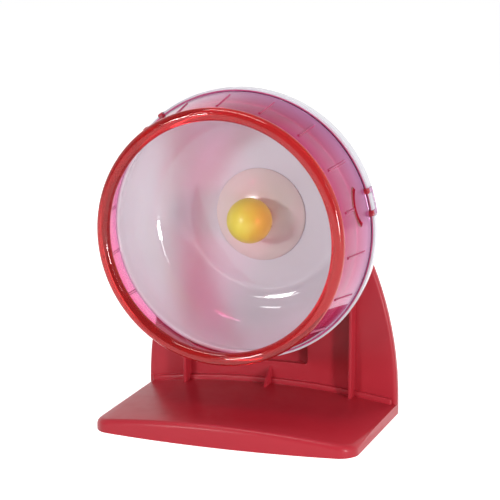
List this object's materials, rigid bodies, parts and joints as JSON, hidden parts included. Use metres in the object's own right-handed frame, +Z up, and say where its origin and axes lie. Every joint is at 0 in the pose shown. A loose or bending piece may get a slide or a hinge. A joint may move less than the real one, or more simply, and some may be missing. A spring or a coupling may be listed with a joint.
{
  "type": "rodent exercise wheel",
  "caption": "Enclosed exercise wheel for a small rodent: a clear tinted front ring snapped to a white bowl, turning on a bearing axle held by an upright stand.",
  "frame": {"origin": "on the floor, under the middle of the stand's base", "axes": "+X to the right, +Y to the back, along the axle, +Z up"},
  "size_m": [0.145, 0.092, 0.1822],
  "materials": {
    "red_plastic": "semi-gloss moulded",
    "pink_clear_plastic": "clear tinted",
    "white_plastic": "gloss moulded",
    "cream_plastic": "gloss moulded",
    "yellow_plastic": "gloss moulded",
    "zinc_steel": "zinc plated",
    "bearing_steel": "ground",
    "insert_brass": "turned",
    "cage_nylon": "moulded"
  },
  "bodies": {
    "stand": {"stand": "red_plastic", "axle_bolt": "zinc_steel", "axle_collar": "zinc_steel", "rear_bearing_inner_race": "bearing_steel", "inner_spacer": "bearing_steel", "front_bearing_inner_race": "bearing_steel", "front_washer": "zinc_steel", "knob_insert": "insert_brass", "knob": "yellow_plastic"},
    "wheel": {"rear_bowl": "white_plastic", "front_ring": "pink_clear_plastic", "hub": "cream_plastic", "hub_screws": "zinc_steel", "rear_bearing_outer_race": "bearing_steel", "outer_spacer": "bearing_steel", "front_bearing_outer_race": "bearing_steel", "bearing_clip": "bearing_steel"},
    "rear_cage": {"rear_bearing_balls": "bearing_steel", "rear_bearing_cage": "cage_nylon"},
    "front_cage": {"front_bearing_balls": "bearing_steel", "front_bearing_cage": "cage_nylon"}
  },
  "joints": [
    {"name": "wheel_spin", "type": "hinge", "parent": "stand", "child": "wheel", "pos_m": [0, 0.0267, 0.11], "axis": [0, 1, 0], "continuous": true},
    {"name": "rear_cage_turn", "type": "hinge", "parent": "stand", "child": "rear_cage", "pos_m": [0, 0.0267, 0.11], "axis": [0, 1, 0], "continuous": true},
    {"name": "front_cage_turn", "type": "hinge", "parent": "stand", "child": "front_cage", "pos_m": [0, 0.0267, 0.11], "axis": [0, 1, 0], "continuous": true}
  ],
  "couplings": [
    {"joint": "rear_cage_turn", "follows": "wheel_spin", "ratio": 0.63043},
    {"joint": "front_cage_turn", "follows": "wheel_spin", "ratio": 0.63043}
  ]
}
